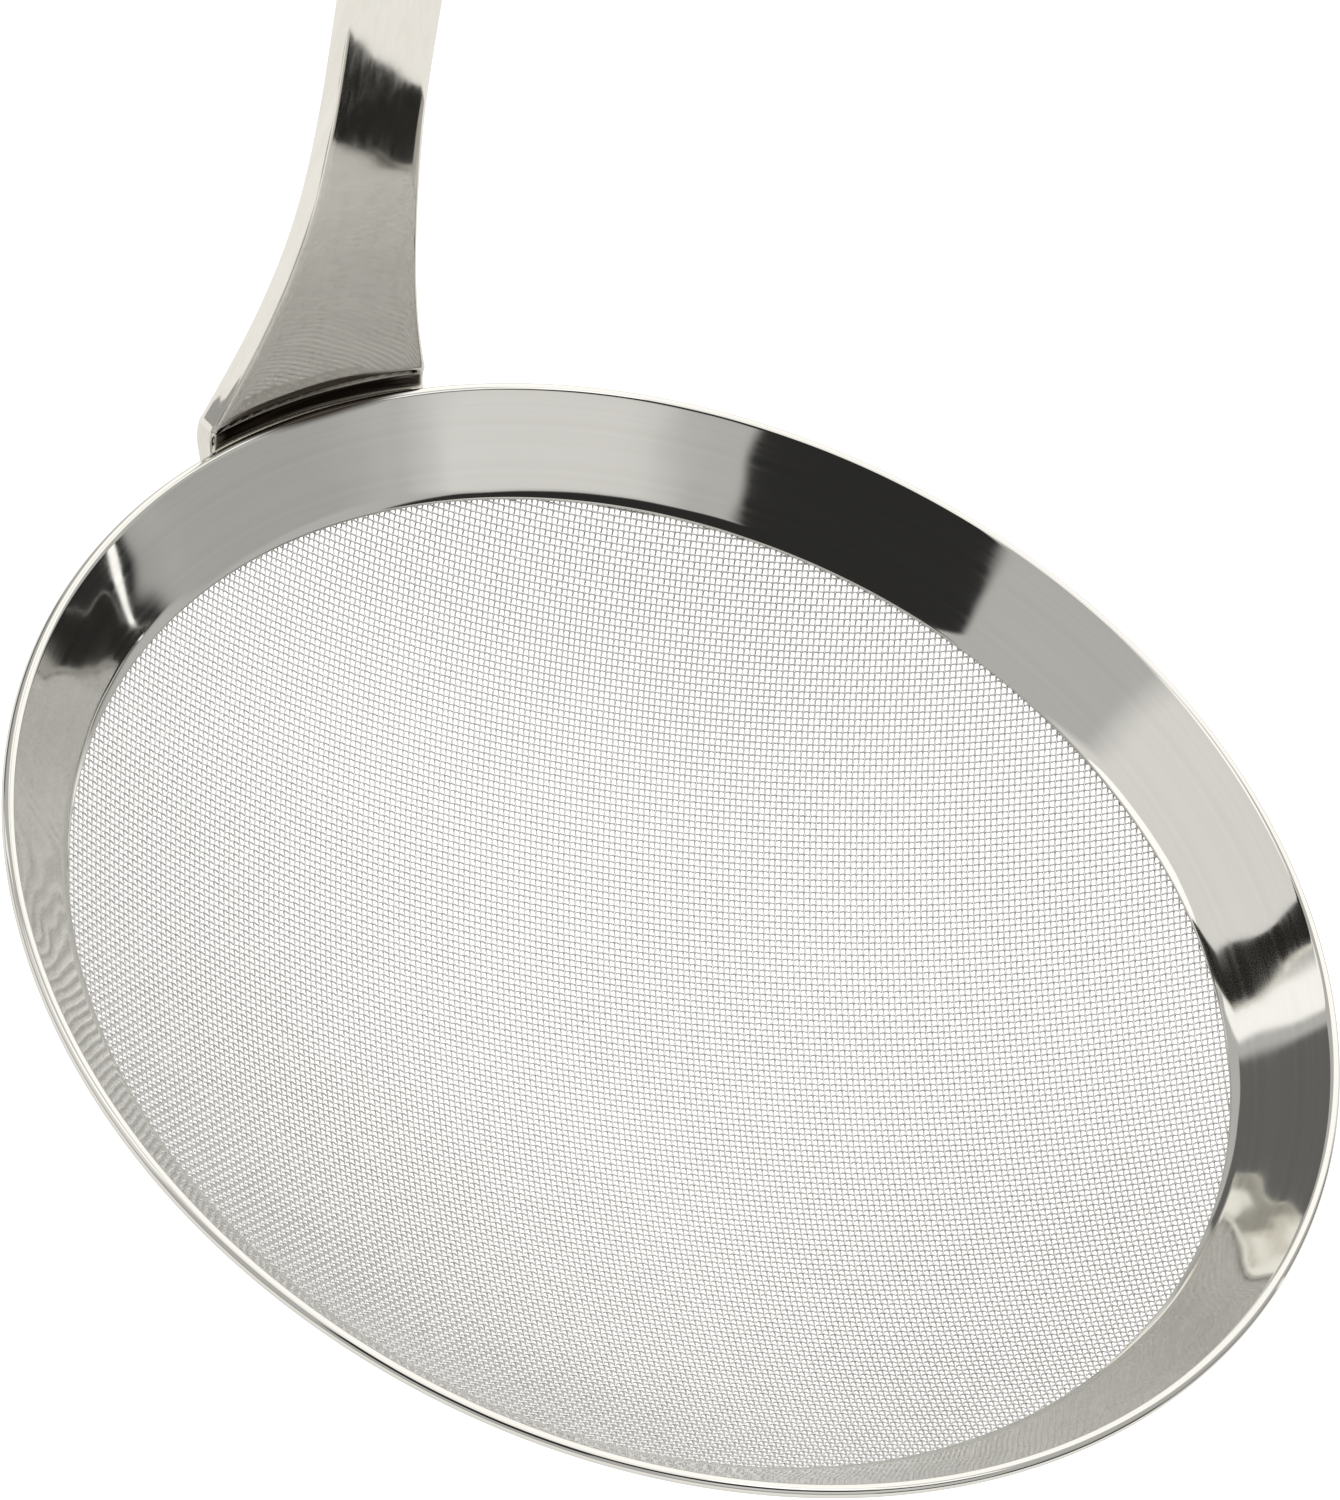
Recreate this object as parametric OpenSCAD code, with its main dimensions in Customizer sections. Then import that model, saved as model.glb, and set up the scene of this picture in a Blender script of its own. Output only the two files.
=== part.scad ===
// Tea strainer: a shallow dish of woven wire in a folded conical rim, with a
// steep, ladle-like strip handle welded to the back of the rim.
// +Z is up. The origin is on the ring axis, level with the middle of the rim's
// fold. +X points from there to the handle, and Y = 0 is the mirror plane.

/* [Rim] */
// Outer diameter over the folded edge
rim_d = 100; // [90:1:110]
// Diameter of the mesh that shows inside the rim
mouth_d = 87.5; // [78:0.1:88]
// Drop from the fold's middle to the edge of the lip
mouth_drop = 5.67; // [4.5:0.01:7]
// Thickness of the rim's sheet steel
sheet_t = 0.35; // [0.3:0.05:0.4]
// Width of the lip that is bent to follow the mesh
lip_w = 0.5; // [0.4:0.1:1.2]
// Slope of the lip, in degrees from level
lip_slope = 38; // [28:1:42]

/* [Mesh] */
// Thickness of the woven cloth, which is two wires
cloth_t = 0.28; // [0.2:0.02:0.3]
// Depth of the dish's lowest point below the fold's middle
dish_depth = 18.25; // [14:0.25:22]

/* [Handle] */
// Thickness of the handle's strip
handle_t = 1.8; // [1.5:0.1:2.2]
// Chord of the handle's root across the rim
root_w = 19.7; // [16:0.1:26]
// Narrowest width of the neck
neck_w = 8.8; // [7:0.1:11]
// Height of the neck above the rim
neck_h = 30.2; // [26:0.1:45]
// Width of the grip at its end
grip_w = 15; // [12:0.5:18]
// Length of the strip above its root bend
handle_l = 150; // [120:5:180]
// Lean of the strip just above the root, in degrees from level
root_lean = 88.4; // [84:0.1:89.5]
// Lean of the straight grip, in degrees from level
grip_lean = 75.3; // [60:0.1:80]
// Radius of the long outward curve
sweep_r = 93.5; // [80:0.5:150]
// Radius of the root's bend
root_bend_r = 2.2; // [2:0.1:4]
// Length of the tab that lies on the rim's outer leaf
tab_l = 5.4; // [4:0.2:6]
// Radius of the rounding along the strip's edges
edge_r = 0.5; // [0.3:0.1:0.7]
// Diameter of the hanging hole
hole_d = 6; // [4:0.5:8]
// Distance from the hole's middle to the end of the grip
hole_inset = 9; // [8:0.5:12]

/* [Hidden] */
$fn = 96;

rim_r = rim_d / 2;
mouth_r = mouth_d / 2;
fold_r = sheet_t + cloth_t / 2;
fold_x = rim_r - fold_r;
tie_half = 0.1;         // half a side of the overlap where a leaf meets the fold
fold_wire_gap = 0.35;   // from the fold's middle to the cloth's cut edge
handle_clear = 0.02;    // keeps the faceted tab off the round leaf
weld_r = 1;             // throat of the bead under the tab
tab_corner_r = 2.5;

// Inner face of the rim in the r-z half plane: a straight cone from the fold
// to lip_top, then the lip down to lip_end.
lip_end = [mouth_r, -mouth_drop];
lip_top = lip_end + lip_w * [cos(lip_slope), sin(lip_slope)];
to_fold = [fold_x, 0] - lip_top;
band_slope = atan2(to_fold[1], to_fold[0]) + asin(fold_r / norm(to_fold));
up_band = [cos(band_slope), sin(band_slope)];
out_band = [sin(band_slope), -cos(band_slope)];
out_lip = [sin(lip_slope), -cos(lip_slope)];
mitre = (out_band + out_lip) / (1 + out_band * out_lip);

// The inner face's three corners, moved out through the sheet by depth d
function fold_pt(d, down) = [fold_x, 0] + (d - fold_r) * out_band - down * up_band;
function knee_pt(d) = lip_top + d * mitre;
function lip_pt(d) = lip_end + d * out_lip;

module layer(d1, d2, down) {
  polygon([fold_pt(d1, down), knee_pt(d1), lip_pt(d1),
           lip_pt(d2), knee_pt(d2), fold_pt(d2, down)]);
  translate(lip_pt((d1 + d2) / 2)) circle(r = (d2 - d1) / 2);
}

module fold() {
  intersection() {
    translate([fold_x, 0]) difference() {
      circle(r = fold_r);
      circle(r = fold_r - sheet_t);
    }
    translate([fold_x, 0]) rotate(band_slope) translate([0, -1]) square([2, 2]);
  }
}

// Inside the sheet's thickness, so that each leaf and the fold are one strip
module tie(d) {
  polygon([fold_pt(d - tie_half, tie_half), fold_pt(d + tie_half, tie_half),
           fold_pt(d + tie_half, -tie_half), fold_pt(d - tie_half, -tie_half)]);
}

module rim_band() {
  color("silver") rotate_extrude() {
    layer(0, sheet_t, 0);
    layer(sheet_t + cloth_t, 2 * sheet_t + cloth_t, 0);
    fold();
    tie(sheet_t / 2);
    tie(sheet_t * 3 / 2 + cloth_t);
  }
}

// The dish is a spherical cap that leaves the lip at its underside
dish_edge = lip_pt(fold_r);
cap_h = dish_depth + dish_edge[1];
cap_r = (pow(dish_edge[0], 2) + pow(cap_h, 2)) / (2 * cap_h);
cap_top = cap_r - dish_depth;
cap_half = asin(dish_edge[0] / cap_r);

module mesh_dish() {
  color("gainsboro") rotate_extrude() {
    layer(sheet_t, sheet_t + cloth_t, fold_wire_gap);
    intersection() {
      translate([0, cap_top]) difference() {
        circle(r = cap_r + cloth_t / 2, $fn = 360);
        circle(r = cap_r - cloth_t / 2, $fn = 360);
      }
      polygon([[0, cap_top], [0, -2 * dish_depth],
               [2 * dish_depth * tan(cap_half), cap_top - cap_r * 2 * cos(cap_half)],
               dish_edge]);
    }
  }
}

// Front face of the handle's middle line, in the x-z plane, against the length
// s along it: a tab on the rim's outer leaf, the root's bend, a long sweep and
// a straight grip.
tab_end = fold_pt(2 * fold_r + handle_clear, tab_l);
bend_s = tab_l + 0.4;
sweep_s = bend_s + root_bend_r * (root_lean - band_slope) * PI / 180;
grip_s = sweep_s + sweep_r * (root_lean - grip_lean) * PI / 180;
end_s = sweep_s + handle_l;
bend_p = tab_end + bend_s * up_band;
sweep_p = bend_p + root_bend_r * [sin(root_lean) - sin(band_slope),
                                  cos(band_slope) - cos(root_lean)];
grip_p = sweep_p + sweep_r * [sin(root_lean) - sin(grip_lean),
                              cos(grip_lean) - cos(root_lean)];

function lean(s) =
  s < bend_s ? band_slope :
  s < sweep_s ? band_slope + (s - bend_s) / root_bend_r * 180 / PI :
  s < grip_s ? root_lean - (s - sweep_s) / sweep_r * 180 / PI : grip_lean;
function middle(s) =
  s < bend_s ? tab_end + s * up_band :
  s < sweep_s ? bend_p + root_bend_r * [sin(lean(s)) - sin(band_slope),
                                        cos(band_slope) - cos(lean(s))] :
  s < grip_s ? sweep_p + sweep_r * [sin(root_lean) - sin(lean(s)),
                                    cos(lean(s)) - cos(root_lean)] :
  grip_p + (s - grip_s) * [cos(grip_lean), sin(grip_lean)];

// Width across the strip: a rounded tab, a root that flares in a power curve,
// a neck, and a grip that widens to a half-round end.
neck_s = sweep_s + neck_h;
flare_power = 2.2;
function ease(t) = t * t * (3 - 2 * t);
function corner(t, r) = t >= r ? 0 : r - sqrt(max(0, r * r - pow(r - t, 2)));
function plan_w(s) =
  s < sweep_s ? root_w :
  s < neck_s ? neck_w + (root_w - neck_w) * pow(1 - (s - sweep_s) / neck_h, flare_power) :
  neck_w + (grip_w - neck_w) * ease(min(1, (s - neck_s) / (end_s - grip_w - neck_s)));
function width(s) =
  plan_w(s) - 2 * corner(s, tab_corner_r) - 2 * corner(end_s - s, grip_w / 2);

// Curvature across the strip: it wraps the round rim at the root and fades out
flat_h = 25;
function curve(s) = s < sweep_s ? 1 / middle(s)[0] :
  s < sweep_s + flat_h ? pow(1 - (s - sweep_s) / flat_h, 2) / rim_r : 0;

// A point of the strip at length s, at y across it and at depth d behind the
// front face
function strip_pt(s, y, d) =
  let (k = curve(s), a = k > 0 ? y * k * 180 / PI : 0, m = middle(s), l = lean(s),
       x = k > 0 ? m[0] - (1 - cos(a)) / k : m[0],
       w = k > 0 ? sin(a) / k : y)
  [x + d * sin(l) * cos(a), w + d * sin(l) * sin(a), m[1] - d * cos(l)];

// Cross-section: a rounded rectangle of width w, as [y, depth] pairs
face_n = 8;
corner_n = 3;
function arc_pts(cy, cd, a0) =
  [for (i = [0:corner_n]) let (a = a0 + 90 * i / corner_n)
    [cy + edge_r * cos(a), cd + edge_r * sin(a)]];
function section(w) =
  let (h = w / 2 - edge_r)
  concat(
    arc_pts(-h, edge_r, 180),
    [for (i = [1:face_n - 1]) [-h + 2 * h * i / face_n, 0]],
    arc_pts(h, edge_r, -90),
    arc_pts(h, handle_t - edge_r, 0),
    [for (i = [1:face_n - 1]) [h - 2 * h * i / face_n, handle_t]],
    arc_pts(-h, handle_t - edge_r, 90));

// Stations along the strip: close together on rounded ends and in the bend
tip_n = 7;
function spread(a, b, n) = [for (i = [0:n - 1]) a + (b - a) * i / n];
tip_inset = 0.06;
stations = concat(
  [for (i = [0:tip_n - 1]) tab_corner_r * (1 - cos(90 * i / tip_n)) + tip_inset],
  spread(tab_corner_r + tip_inset, bend_s, 2),
  spread(bend_s, sweep_s, 5),
  spread(sweep_s, neck_s, 12),
  spread(neck_s, end_s - grip_w / 2 - tip_inset, 14),
  [for (i = [0:tip_n]) end_s - tip_inset - grip_w / 2 * (1 - sin(90 * i / tip_n))]);

// Both ends are closed by a row of facets from the front edge to the back edge
module strip(stations) {
  rings = [for (s = stations) [for (p = section(max(width(s), 2.5 * edge_r)))
                                 strip_pt(s, p[0], p[1])]];
  n = len(rings[0]);
  top = (len(rings) - 1) * n;
  polyhedron(
    points = [for (ring = rings, p = ring) p],
    faces = concat(
      [for (i = [0:n / 2 - 2], half = [0, 1])
        half == 0 ? [i, i + 1, n - 2 - i] : [i, n - 2 - i, n - 1 - i]],
      [for (i = [0:n / 2 - 2], half = [0, 1])
        half == 0 ? [top + i + 1, top + i, top + n - 2 - i]
                  : [top + n - 2 - i, top + i, top + n - 1 - i]],
      [for (j = [0:len(rings) - 2], i = [0:n - 1], half = [0, 1])
        let (a = j * n + i, b = j * n + (i + 1) % n)
        half == 0 ? [b, a, a + n] : [b, a + n, b + n]]));
}

hole_p = middle(end_s - hole_inset);

module handle() {
  color("silver") difference() {
    strip(stations);
    translate([hole_p[0], 0, hole_p[1]]) rotate([0, 180 - grip_lean, 0])
      cylinder(d = hole_d, h = 4 * handle_t, center = true);
  }
}

// Fillet bead in the corner between the tab's lower end and the outer leaf
weld_half = asin((root_w / 2 - tab_corner_r) / tab_end[0]);

module handle_weld() {
  color("darkgray") rotate([0, 0, -weld_half]) rotate_extrude(angle = 2 * weld_half)
    translate(tab_end) rotate(band_slope - 180) intersection() {
      circle(r = weld_r, $fn = 48);
      square(2 * weld_r);
    }
}

rim_band();
mesh_dish();
handle();
handle_weld();
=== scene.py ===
"""Tea strainer: a dish of woven wire in a folded conical rim, with a steep strip handle.

Lengths inside the shape functions are millimetres in the CAD frame; build() turns them
into metres. +Z is up, the origin is on the ring's axis and +X points to the handle.
"""
import math

import bpy
import numpy as np
from mathutils import Matrix, Vector


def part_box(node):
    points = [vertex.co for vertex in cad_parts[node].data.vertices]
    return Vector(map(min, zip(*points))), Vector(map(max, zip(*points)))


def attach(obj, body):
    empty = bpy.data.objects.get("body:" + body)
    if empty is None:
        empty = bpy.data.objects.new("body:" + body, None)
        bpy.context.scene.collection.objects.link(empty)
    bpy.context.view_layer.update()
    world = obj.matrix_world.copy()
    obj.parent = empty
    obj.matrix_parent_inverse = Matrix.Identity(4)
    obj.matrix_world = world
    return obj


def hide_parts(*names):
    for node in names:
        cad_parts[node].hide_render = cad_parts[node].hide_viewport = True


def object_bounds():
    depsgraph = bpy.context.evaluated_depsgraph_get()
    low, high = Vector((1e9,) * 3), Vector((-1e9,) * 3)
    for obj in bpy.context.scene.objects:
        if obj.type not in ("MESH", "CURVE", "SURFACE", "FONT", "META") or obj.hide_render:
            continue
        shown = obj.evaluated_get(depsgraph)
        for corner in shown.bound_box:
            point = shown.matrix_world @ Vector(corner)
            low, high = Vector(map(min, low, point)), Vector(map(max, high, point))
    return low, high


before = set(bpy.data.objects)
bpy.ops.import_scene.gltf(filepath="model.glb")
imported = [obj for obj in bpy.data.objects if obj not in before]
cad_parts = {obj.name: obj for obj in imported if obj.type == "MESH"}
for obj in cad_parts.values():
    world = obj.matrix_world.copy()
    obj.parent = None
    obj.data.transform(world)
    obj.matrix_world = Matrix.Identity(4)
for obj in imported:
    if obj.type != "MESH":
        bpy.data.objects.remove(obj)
cad_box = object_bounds()

MM = 0.001

# ---------------------------------------------------------------- dimensions

rim_low, rim_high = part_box("rim_band")
dish_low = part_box("mesh_dish")[0]

RIM_R = (rim_high.x - rim_low.x) / 2 / MM
CLOTH_T = 0.28
SHEET_T = 0.35
MOUTH_R = 43.75
MOUTH_DROP = 5.67
LIP_W = 0.5
LIP_SLOPE = math.radians(38)
DISH_DEPTH = -dish_low.z / MM - CLOTH_T / 2

FOLD_R = SHEET_T + CLOTH_T / 2
FOLD_X = RIM_R - FOLD_R

WIRE_D = 0.17                       # the wires are pressed together where they cross
WARP_AXIS = math.radians(58.43)     # direction of the warp wires from +X
PITCH_ALONG_WARP = 0.4385           # from one weft wire to the next
PITCH_ALONG_WEFT = 0.529            # from one warp wire to the next

HANDLE_T = 1.8
ROOT_W = 19.7
NECK_W = 8.8
NECK_H = 30.2
GRIP_W = 15.0
HANDLE_L = 150.0
ROOT_LEAN = math.radians(88.4)
GRIP_LEAN = math.radians(75.3)
SWEEP_R = 93.5
ROOT_BEND_R = 2.2
TAB_L = 5.4
TAB_TO_BEND = 0.4
TAB_CORNER_R = 2.5
EDGE_R = 0.5
HOLE_R = 3.0
HOLE_INSET = 9.0
FLAT_H = 25.0
FLARE_POWER = 2.2
HANDLE_CLEAR = 0.02
TIP_INSET = 0.06


def unit(angle):
    return np.array([math.cos(angle), math.sin(angle)])


lip_end = np.array([MOUTH_R, -MOUTH_DROP])
lip_top = lip_end + LIP_W * unit(LIP_SLOPE)
to_fold = np.array([FOLD_X, 0.0]) - lip_top
BAND_SLOPE = math.atan2(to_fold[1], to_fold[0]) + math.asin(FOLD_R / np.linalg.norm(to_fold))
up_band = unit(BAND_SLOPE)
out_band = unit(BAND_SLOPE - math.pi / 2)
out_lip = unit(LIP_SLOPE - math.pi / 2)
mitre = (out_band + out_lip) / (1 + out_band @ out_lip)


def fold_pt(depth, down=0.0):
    """A point at that depth behind the band's inner face, down from the fold's middle."""
    return np.array([FOLD_X, 0.0]) + (depth - FOLD_R) * out_band - down * up_band


def knee_pt(depth):
    return lip_top + depth * mitre


def lip_pt(depth):
    return lip_end + depth * out_lip


# ---------------------------------------------------------------- mesh helpers

def build(name, verts_mm, faces, node, material):
    """A smooth-shaded mesh piece that rides on the one body and stands for a CAD node."""
    mesh = bpy.data.meshes.new(name)
    verts = np.asarray(verts_mm, float) * MM
    faces = [np.asarray(f, np.int32) for f in faces]
    loops = np.concatenate([f.ravel() for f in faces])
    sizes = np.concatenate([np.full(len(f), f.shape[1], np.int32) for f in faces])
    starts = np.concatenate([[0], np.cumsum(sizes)[:-1]]).astype(np.int32)
    mesh.vertices.add(len(verts))
    mesh.vertices.foreach_set("co", verts.astype(np.float32).ravel())
    mesh.loops.add(len(loops))
    mesh.loops.foreach_set("vertex_index", loops)
    mesh.polygons.add(len(sizes))
    mesh.polygons.foreach_set("loop_start", starts)
    mesh.polygons.foreach_set("use_smooth", np.ones(len(sizes), bool))
    mesh.update(calc_edges=True)
    mesh.validate()
    mesh.materials.append(material)
    piece = bpy.data.objects.new(name, mesh)
    bpy.context.scene.collection.objects.link(piece)
    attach(piece, "root")
    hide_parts(node)
    return piece


def grid_faces(rows, cols, wrap_rows=False, wrap_cols=False):
    """Quads over a rows x cols grid of vertices, row by row."""
    r = np.arange(rows if wrap_rows else rows - 1)
    c = np.arange(cols if wrap_cols else cols - 1)
    r, c = np.meshgrid(r, c, indexing="ij")
    r2, c2 = (r + 1) % rows, (c + 1) % cols
    return np.stack([r * cols + c, r * cols + c2, r2 * cols + c2, r2 * cols + c],
                    -1).reshape(-1, 4)


def upto(a, b, n):
    """n even steps from a towards b, without b."""
    return np.linspace(a, b, n + 1)[:-1]


def span(a, b, n):
    """n points from a to b, crowded towards both ends, without b."""
    t = (1 - np.cos(upto(0, math.pi, n))) / 2
    a, b = np.asarray(a, float), np.asarray(b, float)
    return a + np.outer(t, b - a)


def bend(centre, radius, a0, a1, n):
    """n points on an arc from angle a0 to a1, without the last."""
    a = upto(a0, a1, n)
    return centre + radius * np.stack([np.cos(a), np.sin(a)], -1)


# ---------------------------------------------------------------- rim

KNEE_R = 4.0
RIM_SEGMENTS = 480
LIP_STEPS = 5
KNEE_STEPS = 6
BAND_STEPS = 14
FOLD_STEPS = 20
ROUND_STEPS = 8                     # inside the fold and round the lips


def leaf_face(depth):
    """One face of a leaf in the r-z plane, from its lip end up to the fold."""
    turn = BAND_SLOPE - LIP_SLOPE
    radius = KNEE_R + depth
    reach = radius * math.tan(turn / 2)
    a = knee_pt(depth) - reach * unit(LIP_SLOPE)
    b = knee_pt(depth) + reach * up_band
    return np.concatenate([
        span(lip_pt(depth), a, LIP_STEPS),
        bend(a - radius * out_lip, radius, LIP_SLOPE - math.pi / 2,
             BAND_SLOPE - math.pi / 2, KNEE_STEPS),
        span(b, fold_pt(depth), BAND_STEPS),
        [fold_pt(depth)]])


def rim_section():
    """Closed outline of the folded strip, round the way it was bent."""
    fold = np.array([FOLD_X, 0.0])
    over, under = BAND_SLOPE + math.pi / 2, BAND_SLOPE - math.pi / 2
    lip_over, lip_under = LIP_SLOPE + math.pi / 2, LIP_SLOPE - math.pi / 2
    inner = SHEET_T + CLOTH_T
    return np.concatenate([
        leaf_face(0.0)[:-1],
        bend(fold, FOLD_R, over, under, FOLD_STEPS),
        leaf_face(2 * FOLD_R)[:0:-1],
        bend(lip_pt(inner + SHEET_T / 2), SHEET_T / 2, lip_under, lip_over - 2 * math.pi,
             ROUND_STEPS),
        leaf_face(inner)[:-1],
        bend(fold, FOLD_R - SHEET_T, under, over, ROUND_STEPS),
        leaf_face(SHEET_T)[:0:-1],
        bend(lip_pt(SHEET_T / 2), SHEET_T / 2, lip_under, lip_over - 2 * math.pi,
             ROUND_STEPS)])


def rim_band(material):
    section = rim_section()
    a = upto(0, 2 * math.pi, RIM_SEGMENTS)
    verts = np.stack([np.outer(np.cos(a), section[:, 0]),
                      np.outer(np.sin(a), section[:, 0]),
                      np.broadcast_to(section[:, 1], (len(a), len(section)))], -1)
    faces = grid_faces(len(a), len(section), wrap_rows=True, wrap_cols=True)
    return build("rim_folded_band", verts.reshape(-1, 3), [faces],
                 "rim_band", material)


# ---------------------------------------------------------------- woven cloth

dish_edge = lip_pt(FOLD_R)
cap_h = DISH_DEPTH + dish_edge[1]
CAP_R = (dish_edge[0] ** 2 + cap_h ** 2) / (2 * cap_h)
CAP_Z = CAP_R - DISH_DEPTH
CLOTH_R = 44.3                      # the wires end between the leaves, just past the lip
WIRE_SIDES = 6
LIFT = (CLOTH_T - WIRE_D) / 2       # a wire's crown above the cloth's middle
CROWN = 0.22                        # share of a pitch to each side of a crossing that is crown
STRANDS_PER_SET = 4                 # pieces per wire set


def half_net(turn):
    """Crossings of a woven cloth draped in the dish, on one side of the middle wire.

    Crossings are unit vectors from the dish's centre of curvature, by (wire, wire) number.
    Every cell keeps the length of its sides, as cloth does, so cells shear towards the
    edge. The cloth ends at CLOTH_R."""
    step_i, step_j = PITCH_ALONG_WARP / CAP_R, PITCH_ALONG_WEFT / CAP_R
    cos_i, cos_j = math.cos(step_i), math.cos(step_j)
    reach = math.asin(CLOTH_R / CAP_R)
    count_i, count_j = int(reach / step_i), int(reach / step_j)
    net = {}
    for i in range(-count_i, count_i + 1):
        s, c = math.sin(i * step_i), math.cos(i * step_i)
        net[i, 0] = (math.cos(turn) * s, math.sin(turn) * s, -c)
    for j in range(1, count_j + 1):
        s, c = math.sin(j * step_j), math.cos(j * step_j)
        net[0, j] = (-math.sin(turn) * s, math.cos(turn) * s, -c)
        for side in (1, -1):
            for i in range(side, side * (2 * count_i), side):
                a, b = net.get((i - side, j)), net.get((i, j - 1))
                if a is None or b is None:
                    break
                dot = a[0] * b[0] + a[1] * b[1] + a[2] * b[2]
                det = 1 - dot * dot
                x, y = (cos_i - cos_j * dot) / det, (cos_j - cos_i * dot) / det
                z = -side * math.sqrt((1 - x * x - y * y - 2 * x * y * dot) / det)
                p = (x * a[0] + y * b[0] + z * (a[1] * b[2] - a[2] * b[1]),
                     x * a[1] + y * b[1] + z * (a[2] * b[0] - a[0] * b[2]),
                     x * a[2] + y * b[2] + z * (a[0] * b[1] - a[1] * b[0]))
                if math.hypot(p[0], p[1]) > CLOTH_R / CAP_R:
                    break
                net[i, j] = p
    return net


def woven_net():
    """Crossings as an array [along warp, along weft, xyz], with their normals, and which
    of them are in the cloth."""
    half, flip = half_net(WARP_AXIS), half_net(WARP_AXIS + math.pi)
    net = {**{(-i, -j): p for (i, j), p in flip.items()}, **half}
    most_i, most_j = (max(abs(key[axis]) for key in net) for axis in (0, 1))
    ways = np.full((2 * most_i + 1, 2 * most_j + 1, 3), np.nan)
    for (i, j), p in net.items():
        ways[most_i + i, most_j + j] = p
    return ways * CAP_R + [0, 0, CAP_Z], -ways, ~np.isnan(ways[..., 0])


def tube(centres, normals):
    """Vertices of one wire, ring by ring along its centres."""
    ahead = np.gradient(centres, axis=0)
    ahead /= np.linalg.norm(ahead, axis=1, keepdims=True)
    side = np.cross(ahead, normals)
    side /= np.linalg.norm(side, axis=1, keepdims=True)
    up = np.cross(side, ahead)
    a = upto(0, 2 * math.pi, WIRE_SIDES)
    ring = WIRE_D / 2 * (np.cos(a)[None, :, None] * side[:, None] -
                         np.sin(a)[None, :, None] * up[:, None])
    return (centres[:, None] + ring).reshape(-1, 3)


def flat_uv(mesh):
    """UVs straight down onto the cloth, in a layer named OFBake."""
    places = np.empty(len(mesh.vertices) * 3, np.float32)
    mesh.vertices.foreach_get("co", places)
    corners = np.empty(len(mesh.loops), np.int32)
    mesh.loops.foreach_get("vertex_index", corners)
    uv = places.reshape(-1, 3)[corners, :2] / (2 * RIM_R * MM) + 0.5
    mesh.uv_layers.new(name="OFBake").data.foreach_set("uv", uv.ravel())


def wire_set(name, points, normals, kept, parity, material):
    """All wires that run along the first axis of points, in a few pieces.

    parity is 0 or 1: which crossings the first wire goes over."""
    wires = []
    for j in range(points.shape[1]):
        run = np.flatnonzero(kept[:, j])
        if len(run) < 3:
            continue
        p, n = points[run, j], normals[run, j]
        lift = LIFT * np.where((run + j + parity) % 2, 1.0, -1.0)[:, None]
        ahead = np.gradient(p, axis=0)
        crown = p + lift * n
        rings = np.stack([crown - CROWN * ahead, crown + CROWN * ahead], 1).reshape(-1, 3)
        wires.append(tube(rings, np.repeat(n, 2, axis=0)))
    counts = np.cumsum([len(w) for w in wires])
    share = np.minimum((counts - 1) * STRANDS_PER_SET // counts[-1], STRANDS_PER_SET - 1)
    for part in range(STRANDS_PER_SET):
        verts, quads, caps, base = [], [], [], 0
        for w in (w for w, s in zip(wires, share) if s == part):
            rings = len(w) // WIRE_SIDES
            quads.append(base + grid_faces(rings, WIRE_SIDES, wrap_cols=True))
            cap = np.arange(WIRE_SIDES)
            caps.append(np.stack([base + cap[::-1], base + len(w) - WIRE_SIDES + cap]))
            verts.append(w)
            base += len(w)
        piece = build(f"{name}_{part + 1}", np.concatenate(verts),
                      [np.concatenate(quads), np.concatenate(caps)],
                      "mesh_dish", material)
        flat_uv(piece.data)


def woven_cloth(material):
    points, normals, kept = woven_net()
    wire_set("warp_wires", points, normals, kept, 0, material)
    wire_set("weft_wires", points.transpose(1, 0, 2), normals.transpose(1, 0, 2), kept.T, 1,
             material)


# ---------------------------------------------------------------- handle

tab_end = fold_pt(2 * FOLD_R + HANDLE_CLEAR, TAB_L)
BEND_S = TAB_L + TAB_TO_BEND
SWEEP_S = BEND_S + ROOT_BEND_R * (ROOT_LEAN - BAND_SLOPE)
GRIP_S = SWEEP_S + SWEEP_R * (ROOT_LEAN - GRIP_LEAN)
END_S = SWEEP_S + HANDLE_L
TOP_S = END_S - TIP_INSET
NECK_S = SWEEP_S + NECK_H


def bent(start, radius, a0, a1):
    """Where a bend that starts at a point with lean a0 has got to at lean a1."""
    return start + radius * np.stack([np.sin(a1) - math.sin(a0),
                                      math.cos(a0) - np.cos(a1)], -1)


bend_p = tab_end + BEND_S * up_band
sweep_p = bent(bend_p, ROOT_BEND_R, BAND_SLOPE, ROOT_LEAN)
grip_p = bent(sweep_p, -SWEEP_R, ROOT_LEAN, GRIP_LEAN)


def lean(s):
    return np.select(
        [s < BEND_S, s < SWEEP_S, s < GRIP_S],
        [BAND_SLOPE + 0 * s, BAND_SLOPE + (s - BEND_S) / ROOT_BEND_R,
         ROOT_LEAN - (s - SWEEP_S) / SWEEP_R], GRIP_LEAN)


def middle(s):
    """Front face's middle line in the x-z plane at length s from the tab's end."""
    s = np.asarray(s, float)
    l = lean(s)
    parts = [tab_end + s[..., None] * up_band,
             bent(bend_p, ROOT_BEND_R, BAND_SLOPE, l),
             bent(sweep_p, -SWEEP_R, ROOT_LEAN, l),
             grip_p + (s[..., None] - GRIP_S) * unit(GRIP_LEAN)]
    place = np.select([s < BEND_S, s < SWEEP_S, s < GRIP_S], [0, 1, 2], 3)
    return np.choose(place[..., None], parts)


def corner(t, r):
    return np.where(t >= r, 0.0, r - np.sqrt(np.maximum(0, r * r - (r - t) ** 2)))


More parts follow.
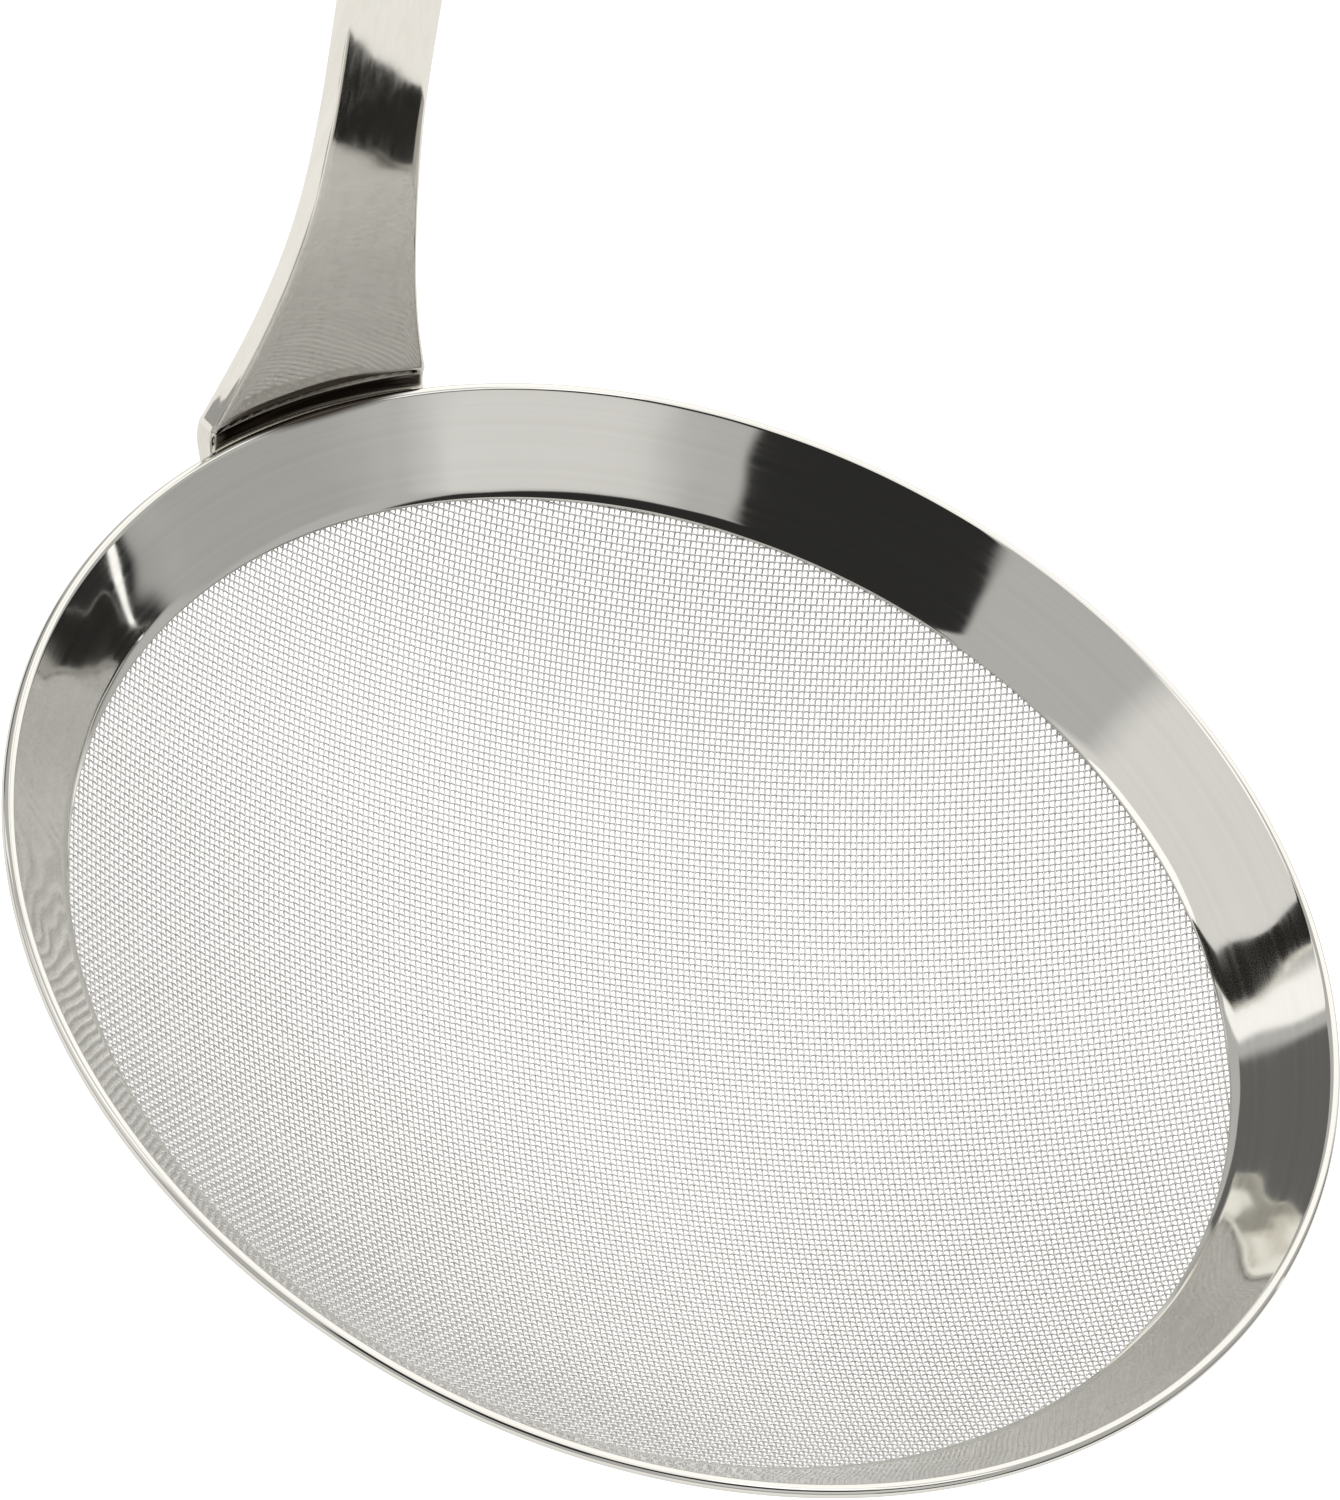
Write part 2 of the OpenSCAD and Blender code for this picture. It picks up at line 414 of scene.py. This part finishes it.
def half_width(s):
    t = np.clip((s - NECK_S) / (END_S - GRIP_W - NECK_S), 0, 1)
    flare = np.clip(1 - (s - SWEEP_S) / NECK_H, 0, 1) ** FLARE_POWER
    w = np.where(s < SWEEP_S, ROOT_W,
                 np.where(s < NECK_S, NECK_W + (ROOT_W - NECK_W) * flare,
                          NECK_W + (GRIP_W - NECK_W) * t * t * (3 - 2 * t)))
    return w / 2 - corner(s, TAB_CORNER_R) - corner(TOP_S - s, GRIP_W / 2)


def strip_pt(syd):
    """Places points given as length along, width across and depth behind the front face."""
    s, y, d = np.moveaxis(syd, -1, 0)
    m, l = middle(s), lean(s)
    k = np.where(s < SWEEP_S, 1 / m[:, 0],
                 np.clip(1 - (s - SWEEP_S) / FLAT_H, 0, 1) ** 2 / RIM_R)
    flat = k < 1e-6
    k = np.where(flat, 1.0, k)
    a = np.where(flat, 0.0, y * k)
    x = m[:, 0] - np.where(flat, 0.0, (1 - np.cos(a)) / k)
    w = np.where(flat, y, np.sin(a) / k)
    return np.stack([x + d * np.sin(l) * np.cos(a), w + d * np.sin(l) * np.sin(a),
                     m[:, 1] - d * np.cos(l)], -1)


COLUMNS = 16
TAB_ROWS = 8                        # and as many round the tab's corners
BEND_ROWS = 12
FLARE_ROWS = 60
GRIP_ROWS = 106
TIP_ROWS = 12
TIP_TURN = math.radians(80)         # how far round the tip the rows go
EDGE_STEPS = 6
WALL_STEPS = 3
HOLE_EDGE_R = 0.25
HOLE_STEPS = 4
HOLE_BLOCK = 4.4                    # half the square round the hole that is meshed radially


def handle_rows():
    """Lengths of the rows across the strip, closer where it bends or narrows."""
    tip = TOP_S - GRIP_W / 2
    return np.concatenate([
        TAB_CORNER_R * (1 - np.cos(upto(0, math.pi / 2, TAB_ROWS))),
        upto(TAB_CORNER_R, BEND_S, TAB_ROWS),
        upto(BEND_S, SWEEP_S, BEND_ROWS),
        upto(SWEEP_S, NECK_S, FLARE_ROWS),
        upto(NECK_S, tip, GRIP_ROWS),
        tip + GRIP_W / 2 * np.sin(np.linspace(0, TIP_TURN, TIP_ROWS + 1))])


def profile(radius, thickness, edge_steps, wall_steps):
    """(distance in from the wall, depth) down a rounded edge, a wall and a rounded edge."""
    a = np.linspace(0, math.pi / 2, edge_steps + 1)
    top = np.stack([radius * (1 - np.sin(a)), radius * (1 - np.cos(a))], -1)
    low = np.stack([top[::-1, 0], thickness - top[::-1, 1]], -1)
    wall = np.linspace(radius, thickness - radius, wall_steps + 1)[1:-1]
    return np.concatenate([top, np.stack([0 * wall, wall], -1), low])


def strip_outline(rows):
    """The strip's outline in length and width, once round: right side up, over the tip,
    left side down and along the tab's end."""
    hw = half_width(rows)
    u = np.linspace(1, -1, COLUMNS + 1)[1:-1]
    centre = TOP_S - GRIP_W / 2
    top = math.atan2(hw[-1], rows[-1] - centre)
    tip = np.stack([centre + GRIP_W / 2 * np.cos(top * u), GRIP_W / 2 * np.sin(top * u)], -1)
    return np.concatenate([np.stack([rows, hw], -1), tip,
                           np.stack([rows, -hw], -1)[::-1],
                           np.stack([0 * u, -hw[0] * u], -1)])


def handle(material):
    rows = handle_rows()
    n = len(rows)
    outline = strip_outline(rows)
    around = len(outline)
    ahead = np.roll(outline, -1, 0) - np.roll(outline, 1, 0)
    inward = np.stack([ahead[:, 1], -ahead[:, 0]], -1)
    inward /= np.linalg.norm(inward, axis=1, keepdims=True)
    edge = profile(EDGE_R, HANDLE_T, EDGE_STEPS, WALL_STEPS)
    syd = [np.concatenate([outline + inset * inward, np.full((around, 1), depth)], 1)
           for inset, depth in edge]
    faces = [grid_faces(len(edge), around, wrap_cols=True)]
    total = len(edge) * around

    right = np.arange(n)
    left = n + COLUMNS - 1 + np.arange(n)[::-1]
    hole_s = END_S - HOLE_INSET
    rims = []
    for loop, depth in ((0, 0.0), (len(edge) - 1, HANDLE_T)):
        ring = syd[loop]
        u = np.linspace(0, 1, COLUMNS + 1)[1:-1]
        inner = (ring[right[1:-1], None, :] * (1 - u)[None, :, None] +
                 ring[left[1:-1], None, :] * u[None, :, None])
        index = np.zeros((n, COLUMNS + 1), int)
        base = loop * around
        index[:, 0], index[:, -1] = base + right, base + left
        index[1:-1, 1:-1] = total + np.arange((n - 2) * (COLUMNS - 1)).reshape(n - 2, -1)
        index[-1, 1:-1] = base + n + np.arange(COLUMNS - 1)
        index[0, 1:-1] = base + around - 1 - np.arange(COLUMNS - 1)
        syd.append(inner.reshape(-1, 3))
        total += inner.shape[0] * inner.shape[1]
        near = np.flatnonzero(np.abs(rows - hole_s) < HOLE_BLOCK)
        r0, r1, c0, c1 = near[0], near[-1], COLUMNS // 4, COLUMNS - COLUMNS // 4
        keep = np.ones((n - 1, COLUMNS), bool)
        keep[r0:r1, c0:c1] = False
        faces.append(np.stack([index[:-1, :-1], index[:-1, 1:], index[1:, 1:],
                               index[1:, :-1]], -1)[keep])
        rims.append(np.concatenate([index[r0:r1, c0], index[r1, c0:c1],
                                    index[r1:r0:-1, c1], index[r0, c1:c0:-1]]))
    syd = np.concatenate(syd)

    away = syd[rims[0], :2] - [hole_s, 0]
    away_unit = away / np.linalg.norm(away, axis=1, keepdims=True)
    bore = profile(HOLE_EDGE_R, HANDLE_T, HOLE_STEPS, HOLE_STEPS)
    rings = [(syd[rims[0], :2] + [hole_s, 0] + (HOLE_R + HOLE_EDGE_R) * away_unit) / 2]
    depths = [0.0]
    for inset, depth in bore:
        rings.append([hole_s, 0] + (HOLE_R + inset) * away_unit)
        depths.append(depth)
    rings.append(rings[0])
    depths.append(HANDLE_T)
    hole = [np.concatenate([r, np.full((len(r), 1), d)], 1) for r, d in zip(rings, depths)]
    count = len(rims[0])
    index = np.concatenate([[rims[0]], total + np.arange(len(hole) * count).reshape(-1, count),
                            [rims[1]]])
    flat = index.ravel()
    faces.append(flat[grid_faces(len(index), count, wrap_cols=True)])
    syd = np.concatenate([syd] + hole)
    faces[2] = faces[2][:, ::-1]
    faces[3] = faces[3][:, ::-1]
    return build("handle_strip", strip_pt(syd), faces, "handle", material)


# ---------------------------------------------------------------- weld

WELD_R = 1.0
WELD_STEPS = 180
WELD_ROUND = 9                      # points round the bead
WELD_TIP = 0.02                     # how far from its points the bead stops, in throats
RIPPLE = 0.06                       # share of the throat
RIPPLE_PITCH = 0.7


def handle_weld(material):
    """Fillet bead under the tab, with the ripples of a weld and round ends."""
    half = math.asin((ROOT_W / 2 - TAB_CORNER_R) / tab_end[0])
    a = np.linspace(-half, half, WELD_STEPS + 1)
    along = a * tab_end[0]
    ripple = 1 - RIPPLE * np.abs(np.sin(math.pi * along / RIPPLE_PITCH))
    from_end = np.clip((half * tab_end[0] - np.abs(along)) / WELD_R, WELD_TIP, 1)
    throat = WELD_R * ripple * np.sqrt(1 - (1 - from_end) ** 2)
    q = np.linspace(0, math.pi / 2, WELD_ROUND)
    section = np.concatenate([[[0, 0]], np.stack([np.sin(q), np.cos(q)], -1)])
    rz = (tab_end + throat[:, None, None] *
          (section[None, :, :1] * -up_band + section[None, :, 1:] * out_band))
    verts = np.stack([rz[..., 0] * np.cos(a)[:, None], rz[..., 0] * np.sin(a)[:, None],
                      rz[..., 1]], -1)
    n = len(section)
    sides = grid_faces(len(a), n, wrap_cols=True)
    caps = np.stack([np.arange(n)[::-1], len(a) * n - n + np.arange(n)])
    return build("weld_bead", verts.reshape(-1, 3), [sides, caps],
                 "handle_weld", material)


# ---------------------------------------------------------------- materials

def add(tree, kind, values=(), **settings):
    """A shader node with its settings, and inputs that are constants or linked sockets."""
    node = tree.nodes.new(kind)
    for key, value in settings.items():
        setattr(node, key, value)
    for key, value in dict(values).items():
        if isinstance(value, bpy.types.NodeSocket):
            tree.links.new(value, node.inputs[key])
        else:
            node.inputs[key].default_value = value
    return node


def noise(tree, vector, scale, detail, roughness=0.5):
    return add(tree, "ShaderNodeTexNoise", {
        "Vector": vector, "Scale": scale, "Detail": detail,
        "Roughness": roughness}).outputs["Fac"]


def stretch(tree, vector, scale):
    return add(tree, "ShaderNodeMapping", {"Vector": vector, "Scale": scale}).outputs["Vector"]


def ring_lines(tree, vector):
    """Coordinates that only change across the ring's polishing lines."""
    part = add(tree, "ShaderNodeSeparateXYZ", {"Vector": vector}).outputs
    flat = add(tree, "ShaderNodeCombineXYZ", {"X": part["X"], "Y": part["Y"]}).outputs[0]
    radius = add(tree, "ShaderNodeVectorMath", {0: flat}, operation="LENGTH").outputs["Value"]
    return add(tree, "ShaderNodeCombineXYZ", {"X": radius, "Y": part["Z"]}).outputs[0]


# Painted shade in the corner between the strip's front face and the fold. Each pair is where
# it is gone and where it is full, in metres.
CREVICE_SHADE_COLOUR = (0.075, 0.062, 0.050)
CREVICE_SHADE_BLUR = 0.0006                  # how far the drift moves the painted shade's edge
CREVICE_SHADE_SIDE = (0.0096, 0.0092)        # towards the strip's walls
CREVICE_SHADE_BACK = (0.0516, 0.0512)        # towards its back
CREVICE_SHADE_LOW = (0.0, 0.0003)            # towards its tab


def ramp(tree, value, off, on):
    """0 at off, 1 at on, and straight between them."""
    return add(tree, "ShaderNodeMapRange", {
        "Value": value, "From Min": off, "From Max": on}).outputs[0]


def paint_crevice_shade(tree, place, drift, colour, axis, full, gone, power):
    """The colour, darkened with painted shade in the corner between the strip and the fold."""
    part = add(tree, "ShaderNodeSeparateXYZ", {"Vector": place}).outputs
    blur = add(tree, "ShaderNodeMath", {0: drift, 1: CREVICE_SHADE_BLUR, 2: part[axis]},
               operation="MULTIPLY_ADD").outputs[0]
    share = ramp(tree, blur, gone + CREVICE_SHADE_BLUR / 2, full + CREVICE_SHADE_BLUR / 2)
    share = add(tree, "ShaderNodeMath", {0: share, 1: power}, operation="POWER").outputs[0]
    side = add(tree, "ShaderNodeMath", {0: part["Y"]}, operation="ABSOLUTE").outputs[0]
    for value, limits in ((side, CREVICE_SHADE_SIDE), (part["X"], CREVICE_SHADE_BACK), (part["Z"], CREVICE_SHADE_LOW)):
        share = add(tree, "ShaderNodeMath", {0: share, 1: ramp(tree, value, *limits)},
                    operation="MULTIPLY").outputs[0]
    return add(tree, "ShaderNodeMix", {
        "Factor": share, 6: colour, 7: (*CREVICE_SHADE_COLOUR, 1.0)}, data_type="RGBA").outputs[2]


DRIFT_SCALE = 30.0
TONE_SPAN = (0.7, 1.3)              # sums of drift and grain from the dark to the light tone
WEAR_SPAN = (0.1, 0.45)             # their products from the smoothest to the roughest


def steel(name, light, dark, rough, grain, grain_scale, grain_height, wave_height, wave_scale,
          painted_shade=None):
    """Stainless steel: tone and roughness drift slowly, fine grain and slow waves are bump.

    rough is the smoothest and the roughest. grain is "ring", or how much the grain is
    stretched along x, y and z. Heights are metres, and scales are noise cells per metre.
    The last argument places painted shade in the corner between strip and fold: the axis
    along which it fades, where it is full, where it is gone, and how fast it goes."""
    material = bpy.data.materials.new(name)
    material.use_nodes = True
    tree = material.node_tree
    shader = tree.nodes["Principled BSDF"]
    place = add(tree, "ShaderNodeTexCoord").outputs["Object"]
    lines = ring_lines(tree, place) if grain == "ring" else stretch(tree, place, grain)
    fine = noise(tree, lines, grain_scale, 3.0, 0.6)
    slow = noise(tree, place, wave_scale, 1.0)
    drift = noise(tree, place, DRIFT_SCALE, 4.0, 0.55)
    tone = add(tree, "ShaderNodeMath", {0: drift, 1: fine}, operation="ADD").outputs[0]
    tone = ramp(tree, tone, *TONE_SPAN)
    tone = add(tree, "ShaderNodeMix", {
        "Factor": tone, 6: (*dark, 1.0), 7: (*light, 1.0)},
        data_type="RGBA").outputs[2]
    # painted shade darkens the corner between the strip and the fold
    if painted_shade:
        tone = paint_crevice_shade(tree, place, drift, tone, *painted_shade)
    wear = add(tree, "ShaderNodeMath", {0: drift, 1: fine}, operation="MULTIPLY").outputs[0]
    gloss = add(tree, "ShaderNodeMapRange", {
        "Value": wear, "From Min": WEAR_SPAN[0], "From Max": WEAR_SPAN[1],
        "To Min": rough[0], "To Max": rough[1]})
    bump = add(tree, "ShaderNodeBump", {
        "Height": slow, "Strength": 1.0, "Distance": wave_height})
    bump = add(tree, "ShaderNodeBump", {
        "Height": fine, "Strength": 1.0, "Distance": grain_height,
        "Normal": bump.outputs[0]})
    shader.inputs["Metallic"].default_value = 1.0
    tree.links.new(tone, shader.inputs["Base Color"])
    tree.links.new(gloss.outputs[0], shader.inputs["Roughness"])
    tree.links.new(bump.outputs[0], shader.inputs["Normal"])
    return material


# The ring's fold and the strip's foot both get painted shade in the corner between them.
rim_steel = steel(
    "polished_steel_ring", light=(0.79, 0.78, 0.74), dark=(0.73, 0.72, 0.675),
    rough=(0.03, 0.08), grain="ring", grain_scale=1800.0, grain_height=3.0e-7,
    wave_height=1.5e-4, wave_scale=110.0, painted_shade=("X", 0.0493, 0.0489, 1.0))
handle_steel = steel(
    "polished_steel_strip", light=(0.82, 0.803, 0.756), dark=(0.75, 0.73, 0.676),
    rough=(0.03, 0.08), grain=(9.0, 9.0, 0.5), grain_scale=160.0, grain_height=3.0e-7,
    wave_height=2.4e-4, wave_scale=80.0, painted_shade=("Z", 0.0010, 0.0150, 26.0))
wire_steel = steel(
    "drawn_steel_wire", light=(0.88, 0.875, 0.86), dark=(0.76, 0.755, 0.74),
    rough=(0.22, 0.36), grain=(1.0, 1.0, 1.0), grain_scale=900.0, grain_height=2.0e-6,
    wave_height=0.0, wave_scale=20.0)
weld_steel = steel(
    "welded_steel", light=(0.66, 0.64, 0.60), dark=(0.45, 0.43, 0.40),
    rough=(0.25, 0.45), grain=(1.0, 1.0, 1.0), grain_scale=1500.0, grain_height=1.0e-5,
    wave_height=2.0e-5, wave_scale=300.0)

# ---------------------------------------------------------------- pieces

rim_band(rim_steel)
woven_cloth(wire_steel)
handle(handle_steel)
handle_weld(weld_steel)

# ---------------------------------------------------------------- studio

PAPER_WHITE = 1.6                   # the sweep behind the object, as the camera sees it
FLOOR_GLOW = 1.0                    # the same floor in reflections
FLOOR_SHADE = 0.8                   # and in the dish's soft shadow
FLOOR_R = 0.24
FLOOR_SIDES = 128
SHADE_R = (0.045, 0.085)            # radii between which the shadow fades


def seen(tree, camera_strength, strength, colour):
    """White to the camera, and its own soft strength to every other ray."""
    direct = add(tree, "ShaderNodeLightPath").outputs["Is Camera Ray"]
    mix = add(tree, "ShaderNodeMix", {"Factor": direct, 2: strength, 3: camera_strength})
    tint = add(tree, "ShaderNodeMix", {
        "Factor": direct, 6: (*colour, 1.0), 7: (1.0, 1.0, 1.0, 1.0)}, data_type="RGBA")
    return mix.outputs[0], tint.outputs[2]


def floor():
    a = upto(0, 2 * math.pi, FLOOR_SIDES)
    ring = [(FLOOR_R * math.cos(t), FLOOR_R * math.sin(t), cad_box[0][2]) for t in a]
    mesh = bpy.data.meshes.new("floor")
    mesh.from_pydata(ring, [], [list(range(len(ring)))])
    disc = bpy.data.objects.new("floor", mesh)
    bpy.context.scene.collection.objects.link(disc)
    material = bpy.data.materials.new("pale_floor")
    material.use_nodes = True
    tree = material.node_tree
    tree.nodes.clear()
    place = add(tree, "ShaderNodeTexCoord").outputs["Object"]
    off = add(tree, "ShaderNodeVectorMath", {0: place}, operation="LENGTH").outputs["Value"]
    lit = add(tree, "ShaderNodeMapRange", {
        "Value": off, "From Min": SHADE_R[0], "From Max": SHADE_R[1], "To Min": FLOOR_SHADE,
        "To Max": FLOOR_GLOW}).outputs[0]
    strength, tint = seen(tree, PAPER_WHITE, lit, (1.0, 0.985, 0.96))
    glow = add(tree, "ShaderNodeEmission", {"Color": tint, "Strength": strength})
    out = add(tree, "ShaderNodeOutputMaterial")
    tree.links.new(glow.outputs[0], out.inputs["Surface"])
    mesh.materials.append(material)


SIDE_TONE = 0.40                    # the studio's walls, where no flat stands
# Softboxes and dark flats round the object, as azimuth and elevation of two corners in
# degrees, their strength and how soft their edges are. A later one covers those before it.
FLATS = [
    (-180, 180, 8, 90, 0.55, 8),            # upper walls
    (-150, -118, 8, 24, 0.46, 8),
    (-180, 180, 66, 90, 1.15, 10),          # ceiling
    (-180, -160, 18, 38, 0.80, 10),         # softbox opposite the handle
    (160, 180, 18, 38, 0.80, 10),
    (-92, -20, 2, 90, 1.3, 10),             # bright backdrop
    (30, 72, 8, 62, 0.86, 10),              # large softbox past the handle
    (75, 100, 26, 60, 0.55, 4),
    (140, 180, 41, 62, 0.03, 3),            # dark flats round the camera
    (-180, -143, 41, 62, 0.03, 3),
    (104, 148, 31, 62, 0.03, 2),
    (20, 26, 4, 30, 1.2, 1.5),              # bright strip
    (-8, 17, -4, 15, 0.15, 2),              # low dark flats
    (-175, -96, -7, 6, 0.03, 2),
    (-156, -132, 4, 12, 0.03, 3),
    (-110.4, -109.2, -7, 6, 1.4, 0.3),      # slit of light in one of them
    (-180, 180, -90, -8, 0.90, 2),          # beyond the floor's edge
]


def within(tree, value, low, high, soft):
    """1 between two angles in degrees, falling to 0 over the soft width outside them."""
    up = add(tree, "ShaderNodeMapRange", {
        "Value": value, "From Min": low - soft / 2, "From Max": low + soft / 2},
        interpolation_type="SMOOTHSTEP")
    down = add(tree, "ShaderNodeMapRange", {
        "Value": value, "From Min": high + soft / 2, "From Max": high - soft / 2},
        interpolation_type="SMOOTHSTEP")
    return add(tree, "ShaderNodeMath", {0: up.outputs[0], 1: down.outputs[0]},
               operation="MULTIPLY").outputs[0]


def studio():
    world = bpy.data.worlds.new("studio")
    world.use_nodes = True
    bpy.context.scene.world = world
    tree = world.node_tree
    tree.nodes.clear()
    way = add(tree, "ShaderNodeTexCoord").outputs["Generated"]
    part = add(tree, "ShaderNodeSeparateXYZ", {"Vector": way}).outputs
    turn = add(tree, "ShaderNodeMath", {0: part["Y"], 1: part["X"]}, operation="ARCTAN2")
    rise = add(tree, "ShaderNodeMath", {0: part["Z"]}, operation="ARCSINE")
    azimuth = add(tree, "ShaderNodeMath", {0: turn.outputs[0]}, operation="DEGREES").outputs[0]
    elevation = add(tree, "ShaderNodeMath", {0: rise.outputs[0]}, operation="DEGREES").outputs[0]
    strength = SIDE_TONE
    for az0, az1, el0, el1, tone, soft in FLATS:
        inside = within(tree, elevation, el0, el1, soft)
        if (az0, az1) != (-180, 180):
            across = within(tree, azimuth, az0 - soft * (az0 == -180),
                            az1 + soft * (az1 == 180), soft)
            inside = add(tree, "ShaderNodeMath", {0: inside, 1: across},
                         operation="MULTIPLY").outputs[0]
        strength = add(tree, "ShaderNodeMix", {
            "Factor": inside, 2: strength, 3: tone}).outputs[0]
    strength, tint = seen(tree, PAPER_WHITE, strength, (1.0, 0.99, 0.975))
    sky = add(tree, "ShaderNodeBackground", {"Color": tint, "Strength": strength})
    out = add(tree, "ShaderNodeOutputWorld")
    tree.links.new(sky.outputs[0], out.inputs["Surface"])


LIGHT_AIM = Vector((0, 0, 0.03))


def softbox(name, place, size, watts):
    light = bpy.data.lights.new(name, "AREA")
    light.shape = "DISK"
    light.size = size
    light.energy = watts
    lamp = bpy.data.objects.new(name, light)
    lamp.location = place
    lamp.rotation_euler = (LIGHT_AIM - Vector(place)).to_track_quat("-Z", "Y").to_euler()
    bpy.context.scene.collection.objects.link(lamp)


floor()
studio()
softbox("key_softbox", (-0.35, -0.25, 0.75), size=0.35, watts=0.25)
softbox("fill_softbox", (0.45, 0.35, 0.70), size=0.45, watts=0.25)

# ---------------------------------------------------------------- camera

CAMERA_AZIMUTH = math.radians(125.97)
CAMERA_ELEVATION = math.radians(45.96)
CAMERA_ROLL = math.radians(25.755)
CAMERA_DISTANCE = 11.6076 * RIM_R * MM
CAMERA_AIM = Vector((0.2596, -0.1558, 0.0)) * RIM_R * MM

toward = Vector((math.cos(CAMERA_ELEVATION) * math.cos(CAMERA_AZIMUTH),
                 math.cos(CAMERA_ELEVATION) * math.sin(CAMERA_AZIMUTH),
                 math.sin(CAMERA_ELEVATION)))
right = Vector((-toward.y, toward.x, 0)).normalized()
level = Matrix((right, toward.cross(right), toward)).transposed()
lens = bpy.data.cameras.new("camera")
lens.lens = 192.0
lens.sensor_width = 36.0
lens.sensor_fit = "AUTO"
lens.clip_start = 0.01
lens.clip_end = 20.0
camera = bpy.data.objects.new("camera", lens)
camera.matrix_world = (Matrix.Translation(CAMERA_AIM + CAMERA_DISTANCE * toward) @
                       (level @ Matrix.Rotation(CAMERA_ROLL, 3, "Z")).to_4x4())
bpy.context.scene.collection.objects.link(camera)
bpy.context.scene.camera = camera
bpy.context.scene.view_settings.view_transform = "Standard"

# ---------------------------------------------------------------- end

bpy.context.view_layer.update()
